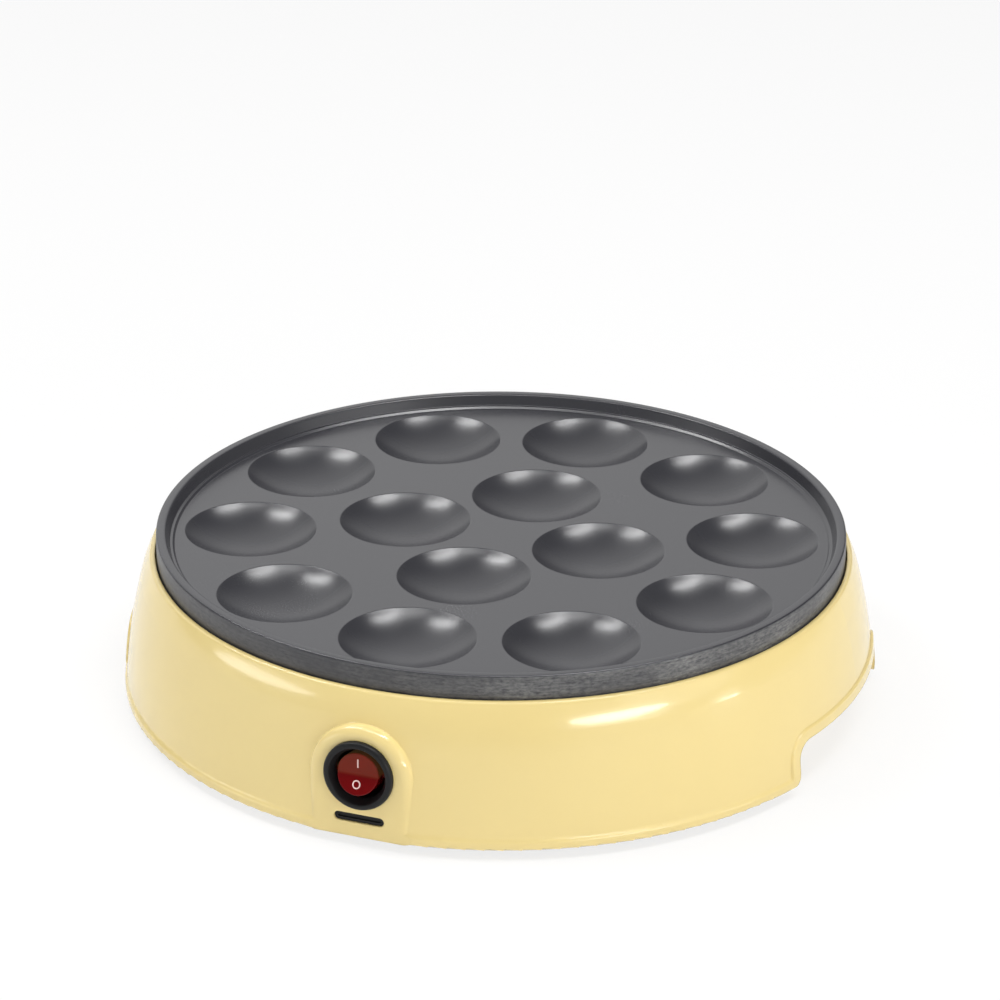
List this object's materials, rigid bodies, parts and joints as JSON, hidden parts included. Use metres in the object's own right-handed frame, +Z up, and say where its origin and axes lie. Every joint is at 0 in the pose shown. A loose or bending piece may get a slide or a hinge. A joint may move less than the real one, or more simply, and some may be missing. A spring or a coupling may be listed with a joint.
{
  "type": "poffertjes maker",
  "caption": "Round electric poffertjes maker: dark baking plate with small round wells on a cream moulded housing with side finger grips and a lit red rocker switch.",
  "frame": {"origin": "bottom centre of the bounding box: on the plane of the feet's undersides, below the plate's centre", "axes": "+Z up, -Y towards the switch, +X towards the grip on the right of someone who faces the switch"},
  "size_m": [0.2518, 0.2567, 0.0582],
  "materials": {
    "cream_shell": "gloss",
    "dark_coat": "satin",
    "cover_plastic": "matte",
    "foot_rubber": "matte",
    "screw_steel": "satin",
    "element_steel": "satin",
    "bead_ceramic": "matte",
    "sheet_steel": "satin",
    "thermostat_case": "matte",
    "fuse_metal": "satin",
    "sleeve_fibre": "matte",
    "block_plastic": "satin",
    "contact_brass": "satin",
    "gland_plastic": "satin",
    "switch_black": "gloss",
    "rocker_red": "gloss",
    "lamp_glass": "gloss",
    "lead_brown": "satin",
    "lead_black": "satin",
    "lead_blue": "satin",
    "lead_white": "satin",
    "lead_green": "satin"
  },
  "bodies": {
    "cooker": {"housing": "cream_shell", "base_cover": "cover_plastic", "baking_plate": "dark_coat", "foot_rear_right": "foot_rubber", "foot_rear_left": "foot_rubber", "foot_front_left": "foot_rubber", "foot_front_right": "foot_rubber", "foot_screws": "screw_steel", "heating_element": "element_steel", "element_beads": "bead_ceramic", "element_pins": "screw_steel", "heater_strap_1": "sheet_steel", "heater_strap_2": "sheet_steel", "heater_strap_3": "sheet_steel", "heater_strap_4": "sheet_steel", "plate_clamp_1": "sheet_steel", "plate_clamp_2": "sheet_steel", "plate_clamp_3": "sheet_steel", "plate_clamp_4": "sheet_steel", "shield_spacers": "bead_ceramic", "shield_screws": "screw_steel", "clamp_screws": "screw_steel", "heat_shield": "sheet_steel", "thermostat": "thermostat_case", "thermostat_ring": "sheet_steel", "thermostat_screws": "screw_steel", "thermal_fuse": "fuse_metal", "fuse_sleeve": "sleeve_fibre", "fuse_clip": "sheet_steel", "terminal_block": "block_plastic", "terminal_inserts": "contact_brass", "terminal_screw": "screw_steel", "earth_tag": "contact_brass", "earth_screw": "screw_steel", "cord_gland": "gland_plastic", "lead_live": "lead_brown", "lead_switched": "lead_black", "lead_fuse": "lead_black", "lead_element": "lead_black", "lead_neutral": "lead_blue", "lead_lamp": "lead_white", "lead_earth": "lead_green", "switch_body": "switch_black", "slot_plug": "switch_black", "switch_tabs": "contact_brass"},
    "rocker": {"rocker": "rocker_red", "rocker_plunger": "contact_brass", "rocker_spring": "screw_steel", "rocker_lamp": "lamp_glass"},
    "contact": {"contact_blade": "contact_brass"}
  },
  "joints": [
    {"name": "rocker_tilt", "type": "hinge", "parent": "cooker", "child": "rocker", "pos_m": [0, -0.12151, 0.0248], "axis": [1, 0, 0], "range_deg": [0, 21]},
    {"name": "contact_tilt", "type": "hinge", "parent": "cooker", "child": "contact", "pos_m": [0, -0.11126, 0.02451], "axis": [1, 0, 0], "range_deg": [-16, 0]}
  ],
  "couplings": [
    {"joint": "contact_tilt", "follows": "rocker_tilt", "ratio": -0.7619}
  ]
}
